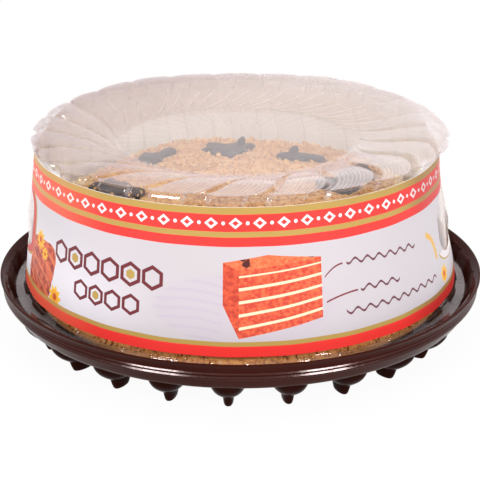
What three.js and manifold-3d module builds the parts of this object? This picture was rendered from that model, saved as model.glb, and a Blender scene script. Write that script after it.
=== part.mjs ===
// A round honey cake in its retail pack: a brown moulded tray on small feet,
// a clear fluted dome with a swirled top, a printed paper band round the dome,
// and the crumb-coated cake with melted chocolate patches inside.
// Millimetres, +Z up, origin on the ground under the centre of the tray.
import * as THREE from 'three';
import { mergeVertices } from 'three/addons/utils/BufferGeometryUtils.js';
import Module from 'manifold-3d';

const wasm = await Module();
wasm.setup();

// ---------------------------------------------------------------- dimensions
const RIM_R = 125.0;            // tray: outer radius at the rim
const RIM_Z = 30.0;             // tray: rim height over the ground
const TRAY_FLOOR_Z = 17.6;      // tray: top of the floor that the cake stands on
const TRAY_UNDER_Z = 15.9;      // tray: underside of that floor
const TRAY_FLOOR_R = 108.6;     // tray: radius of the flat floor
const SEAM = 0.3;               // air between pieces that meet face to face
const LEDGE_R = [112.0, 118.6]; // tray: ledge that the dome's flange sits on
const LEDGE_Z = 20.9;

const FOOT_COUNT = 24;
const FOOT_PHASE = -93.0;       // degrees, azimuth of the first foot
// foot sections from the top down: height, inner radius, outer radius, half width
const FOOT_SECTIONS = [
  [15.4, 90.5, 115.2, 7.8],
  [12.0, 92.0, 113.4, 6.9],
  [8.0, 94.5, 110.8, 5.0],
  [4.6, 96.8, 108.6, 3.1],
  [0.0, 98.5, 107.0, 2.6],
];
// recess scooped in the gutter wall over each foot, down to a thin bottom,
// same columns
const RECESS_SECTIONS = [
  [28.4, 107.0, 121.4, 6.6],
  [17.0, 107.2, 115.0, 4.7],
];

const LOBES = 24;               // flutes of the dome
const LOBE_PHASE = 4.5;         // degrees, azimuth of the first groove
const LOBE_STEPS = 3;           // facets per flute
const DOME_WALL = 0.8;          // dome: sheet thickness
// dome: turn of the grooves in degrees at each radius, from disc to shoulder
const SWIRL = [
  [60.0, 34.0], [61.0, 27.5], [63.0, 21.5], [67.0, 16.0], [73.0, 11.8], [78.0, 9.7],
  [84.0, 8.0], [92.0, 6.2], [98.0, 4.8], [102.0, 3.0], [104.0, 1.4], [105.3, 0.4],
];
const DISC_R = 60.0;            // dome: sunk plain disc in the middle of the top
const DISC_Z = 95.0;
const SHOULDER_R = 105.3;       // dome: widest part of the shoulder
const SHOULDER_Z = 100.4;
const CREST_R = 98.5;           // dome: highest ring
const CREST_Z = 106.2;

const BAND_BOTTOM = [112.2, 27.5];  // paper band: outer radius, height
const BAND_TOP = [102.4, 94.5];
const BAND_PAPER = 0.4;
const BAND_GAP = 0.35;          // air between band and dome
const BAND_MIDDLE_Z = 68.0;     // from here up, the back of the band stands away from the dome
const BAND_BACK = [106.4, 102.5];    // top edge of the band at the back: outer radius, height
const BAND_BACK_DEG = [52.0, 84.0];  // angle from the back where that edge starts and ends its way down
const WINDOW_AZIMUTHS = [178.0, 358.0];  // band: an opening on each side
const WINDOW_HALF_DEG = 20.7;
const WINDOW_Z = [46.0, 77.0];
const WINDOW_POINTS = 28;

const CAKE_BASE_Z = 17.95;
const CAKE_SEGMENTS = 44;
// cake: radius, height over the ground
const CAKE_PROFILE = [
  [30.0, 78.4], [50.0, 77.2], [66.0, 75.2], [78.0, 71.8], [88.0, 66.5],
  [95.0, 59.0], [99.0, 48.0], [101.6, 30.0], [103.0, CAKE_BASE_Z],
];
const CAKE_CENTRE_Z = 79.0;

const CHOC_GAP = 0.75;          // chocolate patch: air over the facets of the cake
const CHOC_THICK = 3.0;

// ------------------------------------------------------------------- helpers
const rad = (d) => d * Math.PI / 180;

// a geometry from bare vertices and triangles, turned outwards if it isn't
function solid(vertices, triangles) {
  let volume = 0;
  for (const [a, b, c] of triangles) {
    const [p, q, r] = [vertices[a], vertices[b], vertices[c]];
    volume += p[0] * (q[1] * r[2] - q[2] * r[1])
            - p[1] * (q[0] * r[2] - q[2] * r[0])
            + p[2] * (q[0] * r[1] - q[1] * r[0]);
  }
  const turned = volume < 0 ? triangles.map(([a, b, c]) => [a, c, b]) : triangles;
  const geometry = new THREE.BufferGeometry();
  geometry.setAttribute('position', new THREE.Float32BufferAttribute(vertices.flat(), 3));
  geometry.setIndex(turned.flat());
  geometry.computeVertexNormals();
  return geometry;
}

// rings of points bridged one to the next; each end is closed by its own
// centre point, or the last ring is bridged back to the first
function bridged(rings, { closed = false, startCentre = null, endCentre = null } = {}) {
  const vertices = rings.flat();
  const n = rings[0].length;
  const triangles = [];
  const bridge = (a, b) => {
    for (let k = 0; k < n; k++) {
      const k2 = (k + 1) % n;
      triangles.push([a * n + k, a * n + k2, b * n + k2], [a * n + k, b * n + k2, b * n + k]);
    }
  };
  for (let i = 0; i + 1 < rings.length; i++) bridge(i, i + 1);
  if (closed) bridge(rings.length - 1, 0);
  const cap = (ring, centre, flip) => {
    const c = vertices.length;
    vertices.push(centre);
    for (let k = 0; k < n; k++) {
      const k2 = (k + 1) % n;
      triangles.push(flip ? [ring * n + k2, ring * n + k, c] : [ring * n + k, ring * n + k2, c]);
    }
  };
  if (startCentre) cap(0, startCentre, true);
  if (endCentre) cap(rings.length - 1, endCentre, false);
  return solid(vertices, triangles);
}

// bare, merged and without empty triangles, ready to join or cut
function bare(geometry) {
  const copy = geometry.clone();
  for (const name of Object.keys(copy.attributes)) if (name !== 'position') copy.deleteAttribute(name);
  const merged = mergeVertices(copy, 1e-4);
  const index = merged.index.array;
  const kept = [];
  for (let i = 0; i < index.length; i += 3) {
    const [a, b, c] = [index[i], index[i + 1], index[i + 2]];
    if (a !== b && b !== c && c !== a) kept.push([a, b, c]);
  }
  const p = merged.attributes.position;
  const vertices = [];
  for (let i = 0; i < p.count; i++) vertices.push([p.getX(i), p.getY(i), p.getZ(i)]);
  return solid(vertices, kept);
}

function toManifold(geometry) {
  const g = bare(geometry);
  return new wasm.Manifold(new wasm.Mesh({
    numProp: 3,
    vertProperties: new Float32Array(g.attributes.position.array),
    triVerts: new Uint32Array(g.index.array),
  }));
}

function fromManifold(manifold) {
  const mesh = manifold.getMesh();
  const geometry = new THREE.BufferGeometry();
  geometry.setAttribute('position', new THREE.Float32BufferAttribute(new Float32Array(mesh.vertProperties), 3));
  geometry.setIndex(Array.from(mesh.triVerts));
  geometry.computeVertexNormals();
  return geometry;
}

// a turned solid from (radius, height) pairs that start and end on the axis
function turned(profile, segments, phase = 0) {
  const g = new THREE.LatheGeometry(profile.map(([r, z]) => new THREE.Vector2(r, z)), segments);
  g.rotateX(Math.PI / 2);
  g.rotateZ(rad(phase));
  return g;
}

// a lofted pod lying along a radius: rounded sections, one per height
function pod(sections, azimuth, sides) {
  const rings = sections.map(([z, r0, r1, half]) => {
    const ring = [];
    for (let k = 0; k < sides; k++) {
      const t = (k + 0.5) / sides * 2 * Math.PI;
      const soft = (v) => Math.sign(v) * Math.abs(v) ** 0.72;
      const x = (r0 + r1) / 2 + (r1 - r0) / 2 * soft(Math.cos(t));
      const y = half * soft(Math.sin(t));
      const a = rad(azimuth);
      ring.push([x * Math.cos(a) - y * Math.sin(a), x * Math.sin(a) + y * Math.cos(a), z]);
    }
    return ring;
  });
  const mean = (ring) => [0, 1, 2].map((i) => ring.reduce((s, p) => s + p[i], 0) / ring.length);
  return bridged(rings, { startCentre: mean(rings[0]), endCentre: mean(rings[rings.length - 1]) });
}

// ---------------------------------------------------------------------- tray
function floorGeometry() {
  return turned([
    [0, TRAY_UNDER_Z], [TRAY_FLOOR_R, TRAY_UNDER_Z], [TRAY_FLOOR_R, TRAY_FLOOR_Z], [0, TRAY_FLOOR_Z],
  ], 72);
}

function rimGeometry() {
  const inner = TRAY_FLOOR_R + SEAM;
  const ring = toManifold(turned([
    [inner, TRAY_UNDER_Z], [119.3, 15.6], [123.4, 23.4], [124.6, 24.6], [124.2, 25.8],
    [RIM_R, RIM_Z - 0.5], [RIM_R - 0.5, RIM_Z], [RIM_R - 1.0, RIM_Z], [121.0, 27.4],
    [LEDGE_R[1], LEDGE_Z], [LEDGE_R[0], LEDGE_Z], [inner, TRAY_FLOOR_Z], [inner, TRAY_UNDER_Z],
  ], 72));
  let recesses = null;
  for (let k = 0; k < FOOT_COUNT; k++) {
    const recess = toManifold(pod(RECESS_SECTIONS, FOOT_PHASE + k * 360 / FOOT_COUNT, 6));
    recesses = recesses ? recesses.add(recess) : recess;
  }
  return fromManifold(ring.subtract(recesses));
}

const footGeometry = (k) => pod(FOOT_SECTIONS, FOOT_PHASE + k * 360 / FOOT_COUNT, 8);

// ---------------------------------------------------------------------- dome
const bandRadius = (z) => BAND_BOTTOM[0]
  + (z - BAND_BOTTOM[1]) * (BAND_TOP[0] - BAND_BOTTOM[0]) / (BAND_TOP[1] - BAND_BOTTOM[1]);
const wallRadius = (z) => bandRadius(z) - BAND_PAPER - BAND_GAP;

function swirl(r) {
  let i = 1;
  while (i < SWIRL.length - 1 && SWIRL[i][0] < r) i++;
  const [[r0, t0], [r1, t1]] = [SWIRL[i - 1], SWIRL[i]];
  return t0 + (t1 - t0) * (r - r0) / (r1 - r0);
}

// stations from the flange up to the disc: radius and height on the lobes,
// then how far the grooves lie inside and below them
const DOME_STATIONS = [
  { r: 117.4, z: 22.4, in: 0, down: 0 },
  { r: 113.4, z: 22.6, in: 0.4, down: 0 },
  { r: 111.5, z: 26.6, in: 1.5, down: 0 },
  { r: wallRadius(94.6), z: 94.6, in: 1.6, down: 0 },
  { r: SHOULDER_R, z: SHOULDER_Z, in: 2.5, down: 0.3 },
  { r: 103.5, z: 104.0, in: 2.4, down: 1.4 },
  { r: CREST_R, z: CREST_Z, in: 1.6, down: 2.7 },
  { r: 86.0, z: 104.3, in: 0, down: 3.0 },
  { r: 72.0, z: 99.6, in: 0, down: 1.9 },
  { r: 62.0, z: 95.8, in: 0, down: 0.4 },
  { r: DISC_R, z: DISC_Z, in: 0, down: 0 },
];

const LAST = DOME_STATIONS.length - 1;
// direction into the sheet at each station, from its neighbours on the profile
const INWARD = DOME_STATIONS.map((s, i) => {
  if (i === 0 || i === LAST) return [0, -1];
  const a = DOME_STATIONS[i - 1];
  const b = DOME_STATIONS[i + 1];
  const d = new THREE.Vector2(b.r - a.r, b.z - a.z).normalize();
  return [-d.y, d.x];
});

// a station moved a little way towards the next one
function nudged(i, distance) {
  const a = DOME_STATIONS[i];
  const b = DOME_STATIONS[i + 1];
  const t = distance / Math.hypot(b.r - a.r, b.z - a.z);
  const mix = (key) => a[key] + (b[key] - a[key]) * t;
  return { r: mix('r'), z: mix('z'), in: mix('in'), down: mix('down') };
}

// the sheet's closed section in one column, from one station to a later one;
// every piece but the first starts a seam's width further on
function domeSection(first, end, k, shift = 0) {
  const n = LOBES * LOBE_STEPS;
  const point = (i, depth) => {
    const s = i === first && first > 0 ? nudged(i, SEAM) : DOME_STATIONS[i];
    const groove = k % LOBE_STEPS === 0 ? 1 : 0;
    const r = s.r - s.in * groove + INWARD[i][0] * depth;
    const z = s.z - s.down * groove + INWARD[i][1] * depth;
    const a = rad(LOBE_PHASE + k * 360 / n + (i >= 4 ? swirl(s.r) : 0)) + shift / r;
    return [r * Math.cos(a), r * Math.sin(a), z];
  };
  const section = [];
  for (let i = first; i <= end; i++) section.push(point(i, 0));
  for (let i = end; i >= first; i--) section.push(point(i, DOME_WALL));
  return section;
}

// all the way round
function domeRing(first, end) {
  const n = LOBES * LOBE_STEPS;
  const sections = Array.from({ length: n }, (_, k) => domeSection(first, end, k));
  return bridged(sections, { closed: true });
}

// a quarter of the way round, with flat ends
function domeQuarter(first, end, quarter) {
  const n = LOBES * LOBE_STEPS / 4;
  const sections = Array.from({ length: n + 1 }, (_, k) =>
    domeSection(first, end, quarter * n + k, k === 0 ? SEAM : 0));
  const size = sections[0].length;
  const triangles = [];
  for (let i = 0; i < n; i++) {
    for (let j = 0; j < size; j++) {
      const [a, b] = [i * size, (i + 1) * size];
      const j2 = (j + 1) % size;
      triangles.push([a + j, a + j2, b + j2], [a + j, b + j2, b + j]);
    }
  }
  const end0 = n * size;
  for (let j = 0; j + 1 < size / 2; j++) {
    const [c, d] = [size - 2 - j, size - 1 - j];
    triangles.push([j + 1, j, d], [j + 1, d, c]);
    triangles.push([end0 + j, end0 + j + 1, end0 + c], [end0 + j, end0 + c, end0 + d]);
  }
  return solid(sections.flat(), triangles);
}

function discGeometry() {
  return turned([
    [0, DISC_Z - DOME_WALL], [DISC_R - SEAM, DISC_Z - DOME_WALL], [DISC_R - SEAM, DISC_Z], [0, DISC_Z],
  ], LOBES * LOBE_STEPS, LOBE_PHASE);
}

// ---------------------------------------------------------------- paper band
// a plug through the sheet round the dome, shaped as a rounded window
function windowPlug(azimuth) {
  const [z0, z1] = WINDOW_Z;
  const ring = (r) => Array.from({ length: WINDOW_POINTS }, (_, k) => {
    const t = k / WINDOW_POINTS * 2 * Math.PI;
    const soft = (v) => Math.sign(v) * Math.abs(v) ** 0.5;
    const a = rad(azimuth + WINDOW_HALF_DEG * soft(Math.cos(t)));
    return [r * Math.cos(a), r * Math.sin(a), (z0 + z1) / 2 + (z1 - z0) / 2 * soft(Math.sin(t))];
  });
  const centre = (r) => [r * Math.cos(rad(azimuth)), r * Math.sin(rad(azimuth)), (z0 + z1) / 2];
  return bridged([ring(96), ring(124)], { startCentre: centre(96), endCentre: centre(124) });
}

// 1 where the band stands up at the back, 0 at the front
function bandBack(azimuth) {
  const away = Math.abs(((azimuth - 90 + 180) % 360 + 360) % 360 - 180);
  const t = Math.min(1, Math.max(0, (away - BAND_BACK_DEG[0]) / (BAND_BACK_DEG[1] - BAND_BACK_DEG[0])));
  return 1 - t * t * (3 - 2 * t);
}

function bandGeometry() {
  const n = LOBES * LOBE_STEPS;
  // a ring of points, from its place at the front to its place at the back
  const ring = ([r, z], [backR, backZ], inset = 0) => Array.from({ length: n }, (_, k) => {
    const azimuth = LOBE_PHASE + k * 360 / n;
    const w = bandBack(azimuth);
    // it moves out sooner than it rises, clear of the dome's shoulder
    const across = r + (backR - r) * (1 - (1 - w) ** 2) - inset;
    return [across * Math.cos(rad(azimuth)), across * Math.sin(rad(azimuth)), z + (backZ - z) * w];
  });
  const middle = [bandRadius(BAND_MIDDLE_Z), BAND_MIDDLE_Z];
  const middleBack = [BAND_BACK[0] + 0.1, BAND_MIDDLE_Z];
  let band = toManifold(bridged([
    ring(BAND_BOTTOM, BAND_BOTTOM), ring(middle, middleBack), ring(BAND_TOP, BAND_BACK),
    ring(BAND_TOP, BAND_BACK, BAND_PAPER), ring(middle, middleBack, BAND_PAPER),
    ring(BAND_BOTTOM, BAND_BOTTOM, BAND_PAPER),
  ], { closed: true }));
  for (const azimuth of WINDOW_AZIMUTHS) band = band.subtract(toManifold(windowPlug(azimuth)));
  return fromManifold(band);
}

// ---------------------------------------------------------------------- cake
// gentle unevenness of the crumb coat, the same under the chocolate patches
const lumps = (x, y) => 0.45 * Math.sin(x / 17 + 0.6) * Math.cos(y / 21 - 0.4)
  + 0.3 * Math.sin((x + y) / 29 + 1.7);

function cakeHeight(x, y) {
  const r = Math.hypot(x, y);
  const profile = [[0, CAKE_CENTRE_Z], ...CAKE_PROFILE];
  for (let i = 1; i < profile.length; i++) {
    if (r <= profile[i][0]) {
      const t = (r - profile[i - 1][0]) / (profile[i][0] - profile[i - 1][0]);
      return profile[i - 1][1] + t * (profile[i][1] - profile[i - 1][1]) + lumps(x, y);
    }
  }
  return CAKE_BASE_Z;
}

function cakeGeometry() {
  const rings = CAKE_PROFILE.map(([r, z], i) => Array.from({ length: CAKE_SEGMENTS }, (_, k) => {
    const a = k / CAKE_SEGMENTS * 2 * Math.PI;
    const side = i >= 5 && i < CAKE_PROFILE.length - 1 ? 1 : 0;
    const rr = r + side * 0.5 * Math.sin(3 * a + i) - side * 0.4;
    const x = rr * Math.cos(a);
    const y = rr * Math.sin(a);
    const top = i < CAKE_PROFILE.length - 2 ? lumps(x, y) * (i < 5 ? 1 : 0.5) : 0;
    return [x, y, z + top];
  }));
  return bridged(rings, {
    startCentre: [0, 0, CAKE_CENTRE_Z + lumps(0, 0)],
    endCentre: [0, 0, CAKE_BASE_Z],
  });
}

// --------------------------------------------------------- chocolate patches
// outlines as seen from above, each a melted puddle with short runs
const PATCHES = {
  choc_back_left: {
    outline: [[-55, 20], [-51, 31], [-47, 25], [-43, 31], [-38, 34], [-35, 28], [-37, 20], [-42, 8], [-46, 4], [-51, 10]],
  },
  choc_back_centre: {
    outline: [[-21, 29], [-18, 41], [-12, 41], [-8, 38], [-2, 43], [3, 40], [8, 37], [7, 31], [4, 25], [0, 19], [-5, 15], [-11, 19], [-16, 22]],
    tip: { at: [0.4, 37], radius: 2.3, height: 3.2 },
  },
  choc_back_right: {
    outline: [[18, 22], [22, 25.5], [28, 26.5], [35, 25.5], [42, 23], [45, 16], [40, 10.5], [31, 10], [24, 13.5], [20, 18]],
    tip: { at: [28.2, 23.5], radius: 2.4, height: 2.7 },
  },
  choc_right: {
    outline: [[61, 13], [66, 18], [69, 6], [69, -3], [64, -12], [57, -13], [49, -9], [50, -2], [55, 4]],
  },
  choc_front_right: {
    outline: [[48, -14], [55, -15], [61, -17], [58, -26], [53, -32], [45, -30], [38, -27], [38, -18]],
  },
  choc_front_left: {
    outline: [[-74, -11], [-66, -10], [-57, -18], [-49, -26], [-48, -33], [-53, -38], [-60, -35], [-68, -28], [-74, -19]],
  },
};

function patchGeometry({ outline, tip }) {
  const n = outline.length;
  const cx = outline.reduce((s, p) => s + p[0], 0) / n;
  const cy = outline.reduce((s, p) => s + p[1], 0) / n;
  const ring = (share, lift) => outline.map(([x, y]) => {
    const px = cx + (x - cx) * share;
    const py = cy + (y - cy) * share;
    return [px, py, cakeHeight(px, py) + lift];
  });
  const body = bridged([
    ring(0.55, CHOC_GAP), ring(0.94, CHOC_GAP), ring(1.0, CHOC_GAP + CHOC_THICK * 0.45),
    ring(0.82, CHOC_GAP + CHOC_THICK * 0.92),
  ], {
    startCentre: [cx, cy, cakeHeight(cx, cy) + CHOC_GAP],
    endCentre: [cx, cy, cakeHeight(cx, cy) + CHOC_GAP + CHOC_THICK],
  });
  if (!tip) return body;
  const [tx, ty] = tip.at;
  const base = cakeHeight(tx, ty) + CHOC_GAP + CHOC_THICK * 0.4;
  const top = cakeHeight(tx, ty) + CHOC_GAP + CHOC_THICK;
  const level = (radius, z, dx) => Array.from({ length: 7 }, (_, k) => {
    const a = k / 7 * 2 * Math.PI;
    return [tx + dx + radius * Math.cos(a), ty + radius * Math.sin(a), z];
  });
  const peak = bridged([
    level(tip.radius, base, 0), level(tip.radius * 0.75, top + tip.height * 0.35, 0.2),
    level(tip.radius * 0.8, top + tip.height * 0.75, 0.6),
  ], { startCentre: [tx, ty, base], endCentre: [tx + 0.8, ty, top + tip.height] });
  return fromManifold(toManifold(body).add(toManifold(peak)));
}

// ------------------------------------------------------------------ assembly
const material = (color, roughness, extra = {}) => new THREE.MeshStandardMaterial({
  color, roughness, metalness: 0, ...extra,
});
const brown = material(0x4a2a24, 0.25);
const clear = material(0xf4eef0, 0.08, { transparent: true, opacity: 0.3 });
const paper = material(0xe9e4ea, 0.5);
const crumb = material(0xd09a62, 0.95);
const chocolate = material(0x33221d, 0.45);

const pack = new THREE.Group();
const add = (name, geometry, look) => {
  const mesh = new THREE.Mesh(geometry, look);
  mesh.name = name;
  pack.add(mesh);
};
// the tray is one moulding and the dome another; each is laid out in simple
// pieces that meet at hairline seams
add('tray_floor', floorGeometry(), brown);
add('tray_rim', rimGeometry(), brown);
for (let k = 0; k < FOOT_COUNT; k++) add(`tray_foot_${String(k + 1).padStart(2, '0')}`, footGeometry(k), brown);
add('dome_flange', domeRing(0, 2), clear);
for (let q = 0; q < 4; q++) add(`dome_wall_${q + 1}`, domeQuarter(2, 3, q), clear);
add('dome_shoulder', domeRing(3, 6), clear);
for (let q = 0; q < 4; q++) add(`dome_swirl_${q + 1}`, domeQuarter(6, LAST, q), clear);
add('dome_disc', discGeometry(), clear);
add('paper_band', bandGeometry(), paper);
add('cake', cakeGeometry(), crumb);
for (const [name, patch] of Object.entries(PATCHES)) add(name, patchGeometry(patch), chocolate);

export default pack;
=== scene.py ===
"""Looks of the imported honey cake: a brown moulded tray, a clear fluted dome with
a swirled top, a printed paper band and the crumb-coated cake with chocolate.
Millimetres in the geometry, turned into metres when a mesh is made."""

import math

import bmesh
import bpy
import numpy as np
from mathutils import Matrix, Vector
from mathutils.geometry import delaunay_2d_cdt


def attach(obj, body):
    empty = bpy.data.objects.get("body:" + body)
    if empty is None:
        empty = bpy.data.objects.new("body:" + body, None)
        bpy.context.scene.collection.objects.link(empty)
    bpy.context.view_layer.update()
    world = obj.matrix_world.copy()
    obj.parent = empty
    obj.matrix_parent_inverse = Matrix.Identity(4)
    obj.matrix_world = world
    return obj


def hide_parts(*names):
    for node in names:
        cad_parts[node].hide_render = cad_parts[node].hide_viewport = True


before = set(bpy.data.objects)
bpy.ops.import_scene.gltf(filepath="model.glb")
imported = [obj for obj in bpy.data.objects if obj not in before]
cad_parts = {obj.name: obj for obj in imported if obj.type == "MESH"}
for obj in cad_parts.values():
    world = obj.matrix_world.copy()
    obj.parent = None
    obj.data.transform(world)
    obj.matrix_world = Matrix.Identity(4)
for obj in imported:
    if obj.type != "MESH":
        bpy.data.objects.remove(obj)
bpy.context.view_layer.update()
rng = np.random.default_rng(41)

# ------------------------------------------------------------------ dimensions
RIM_R, RIM_Z = 125.0, 30.0
FOOT_COUNT, FOOT_PHASE = 24, -93.0
LOBES, LOBE_PHASE = 24, 4.5
PITCH = 360.0 / LOBES
SWIRL = ((60.0, 34.0), (61.0, 27.5), (63.0, 21.5), (67.0, 16.0), (73.0, 11.8), (78.0, 9.7), (84.0, 8.0), (92.0, 6.2), (98.0, 4.8), (102.0, 3.0), (104.0, 1.4), (105.3, 0.4))
BAND_BOTTOM, BAND_TOP = (112.2, 27.5), (102.4, 94.5)
BAND_PAPER, BAND_GAP = 0.4, 0.35
BAND_MIDDLE_Z, BAND_BACK = 68.0, (106.3, 102.6)      # from that height up the back of the band stands away from the lid, up to that edge
WINDOW_AZIMUTHS, WINDOW_HALF_DEG, WINDOW_Z = (178.0, 358.0), 20.7, (46.0, 77.0)
FRONT_DROP = ((60.0, 0.0), (66.0, 0.3), (72.0, 1.1), (79.0, 1.8), (86.0, 2.4), (94.0, 3.0), (98.0, 3.3), (100.3, 2.9), (102.3, 2.2), (104.0, 1.3), (105.0, 0.5), (105.3, 0.0))      # the petals lie lower at the front
SHEET = 0.5


# --------------------------------------------------------------------- helpers
def ease(low, high, x):
    t = np.clip((x - low) / (high - low), 0.0, 1.0)
    return t * t * (3 - 2 * t)


def lattice(i, j, k, seed):
    n = (i * 374761393 + j * 668265263 + k * 1442695041 + seed * 1274126177) & 0xFFFFFFFF
    n = ((n ^ (n >> 13)) * 1274126177) & 0xFFFFFFFF
    return ((n ^ (n >> 16)) & 0xFFFF) / 65535.0


def noise(points, cell, seed=0):
    """Smooth noise from -1 to 1 at points (n, 3), with features of about one cell."""
    q = np.asarray(points, float) / cell
    base = np.floor(q).astype(np.int64)
    f = q - base
    f = f * f * (3 - 2 * f)
    total = np.zeros(len(q))
    for dx in (0, 1):
        wx = f[:, 0] if dx else 1 - f[:, 0]
        for dy in (0, 1):
            wy = f[:, 1] if dy else 1 - f[:, 1]
            for dz in (0, 1):
                wz = f[:, 2] if dz else 1 - f[:, 2]
                total += wx * wy * wz * lattice(base[:, 0] + dx, base[:, 1] + dy, base[:, 2] + dz, seed)
    return total * 2 - 1


def spline(keys, counts, closed=False):
    """Catmull-Rom through the rows of keys, with counts[i] samples in segment i, the last key added."""
    keys = np.asarray(keys, float)
    n = len(keys)
    rows = []
    for i in range(n if closed else n - 1):
        if closed:
            p0, p1, p2, p3 = keys[(i - 1) % n], keys[i], keys[(i + 1) % n], keys[(i + 2) % n]
        else:
            p1, p2 = keys[i], keys[i + 1]
            p0 = keys[i - 1] if i else 2 * p1 - p2
            p3 = keys[i + 2] if i + 2 < n else 2 * p2 - p1
        count = counts if isinstance(counts, int) else counts[i]
        for s in range(count):
            t = s / count
            rows.append(0.5 * (2 * p1 + (p2 - p0) * t + (2 * p0 - 5 * p1 + 4 * p2 - p3) * t * t
                               + (3 * p1 - p0 - 3 * p2 + p3) * t ** 3))
    if not closed:
        rows.append(keys[-1])
    return np.array(rows)


def make_mesh(name, points, quads=None, tris=None, sharp_deg=None, material_index=None):
    quads = np.zeros((0, 4), np.int32) if quads is None else np.asarray(quads, np.int32).reshape(-1, 4)
    tris = np.zeros((0, 3), np.int32) if tris is None else np.asarray(tris, np.int32).reshape(-1, 3)
    points = np.asarray(points, np.float32).reshape(-1, 3) * 0.001
    mesh = bpy.data.meshes.new(name)
    mesh.vertices.add(len(points))
    mesh.vertices.foreach_set("co", points.ravel())
    loops = np.concatenate([quads.ravel(), tris.ravel()])
    starts = np.concatenate([np.arange(len(quads)) * 4, len(quads) * 4 + np.arange(len(tris)) * 3])
    mesh.loops.add(len(loops))
    mesh.loops.foreach_set("vertex_index", loops.astype(np.int32))
    mesh.polygons.add(len(starts))
    mesh.polygons.foreach_set("loop_start", starts.astype(np.int32))
    if material_index is not None:
        mesh.polygons.foreach_set("material_index", np.asarray(material_index, np.int32))
    mesh.update(calc_edges=True)
    mesh.validate()
    mesh.polygons.foreach_set("use_smooth", np.ones(len(mesh.polygons), bool))
    if sharp_deg is not None:
        mesh.set_sharp_from_angle(angle=math.radians(sharp_deg))
    mesh.update()
    return mesh


def add_piece(name, mesh, materials, nodes=()):
    obj = bpy.data.objects.new(name, mesh)
    bpy.context.scene.collection.objects.link(obj)
    for material in materials:
        mesh.materials.append(material)
    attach(obj, "root")
    if nodes:
        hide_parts(*nodes)
    return obj


def grid_quads(rows, columns, wrap_columns=True, wrap_rows=False, offset=0):
    """Quads of a grid of rows x columns points, row after row."""
    i = np.arange(rows if wrap_rows else rows - 1)
    j = np.arange(columns if wrap_columns else columns - 1)
    i, j = np.meshgrid(i, j, indexing="ij")
    i2, j2 = (i + 1) % rows, (j + 1) % columns
    return offset + np.stack([i * columns + j, i * columns + j2, i2 * columns + j2, i2 * columns + j], -1).reshape(-1, 4)


def srgb(r, g, b):
    def linear(c):
        c /= 255.0
        return c / 12.92 if c <= 0.04045 else ((c + 0.055) / 1.055) ** 2.4
    return (linear(r), linear(g), linear(b), 1.0)


# ---------------------------------------------------------- arithmetic in nodes
class Val:
    """A number in a material's node tree, written as plain arithmetic."""

    def __init__(self, tree, socket):
        self.tree, self.socket = tree, socket

    def op(self, kind, *others, clamp=False):
        node = self.tree.nodes.new("ShaderNodeMath")
        node.operation, node.use_clamp = kind, clamp
        for i, v in enumerate((self, *others)):
            if isinstance(v, Val):
                self.tree.links.new(v.socket, node.inputs[i])
            else:
                node.inputs[i].default_value = v
        return Val(self.tree, node.outputs[0])

    def __add__(self, o): return self.op("ADD", o)
    def __radd__(self, o): return self.op("ADD", o)
    def __sub__(self, o): return self.op("SUBTRACT", o)
    def __rsub__(self, o): return (self * -1.0) + o
    def __mul__(self, o): return self.op("MULTIPLY", o)
    def __rmul__(self, o): return self.op("MULTIPLY", o)
    def __truediv__(self, o): return self.op("DIVIDE", o)
    def __pow__(self, o): return self.op("POWER", o)
    def __gt__(self, o): return self.op("GREATER_THAN", o)
    def __lt__(self, o): return self.op("LESS_THAN", o)
    def abs(self): return self.op("ABSOLUTE")
    def sin(self): return self.op("SINE")
    def cos(self): return self.op("COSINE")
    def sqrt(self): return self.op("SQRT")
    def floor(self): return self.op("FLOOR")
    def wrap(self, size): return self.op("FLOORED_MODULO", size)
    def low(self, o): return self.op("MINIMUM", o)
    def high(self, o): return self.op("MAXIMUM", o)
    def atan2(self, o): return self.op("ARCTAN2", o)
    def flip(self): return (self * -1.0) + 1.0
    def between(self, a, b): return (self > a) * (self < b)

    def ramp(self, a, b, low=0.0, high=1.0, smooth=True):
        node = self.tree.nodes.new("ShaderNodeMapRange")
        node.interpolation_type = "SMOOTHSTEP" if smooth else "LINEAR"
        self.tree.links.new(self.socket, node.inputs["Value"])
        for key, v in (("From Min", a), ("From Max", b), ("To Min", low), ("To Max", high)):
            node.inputs[key].default_value = v
        return Val(self.tree, node.outputs["Result"])


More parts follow.
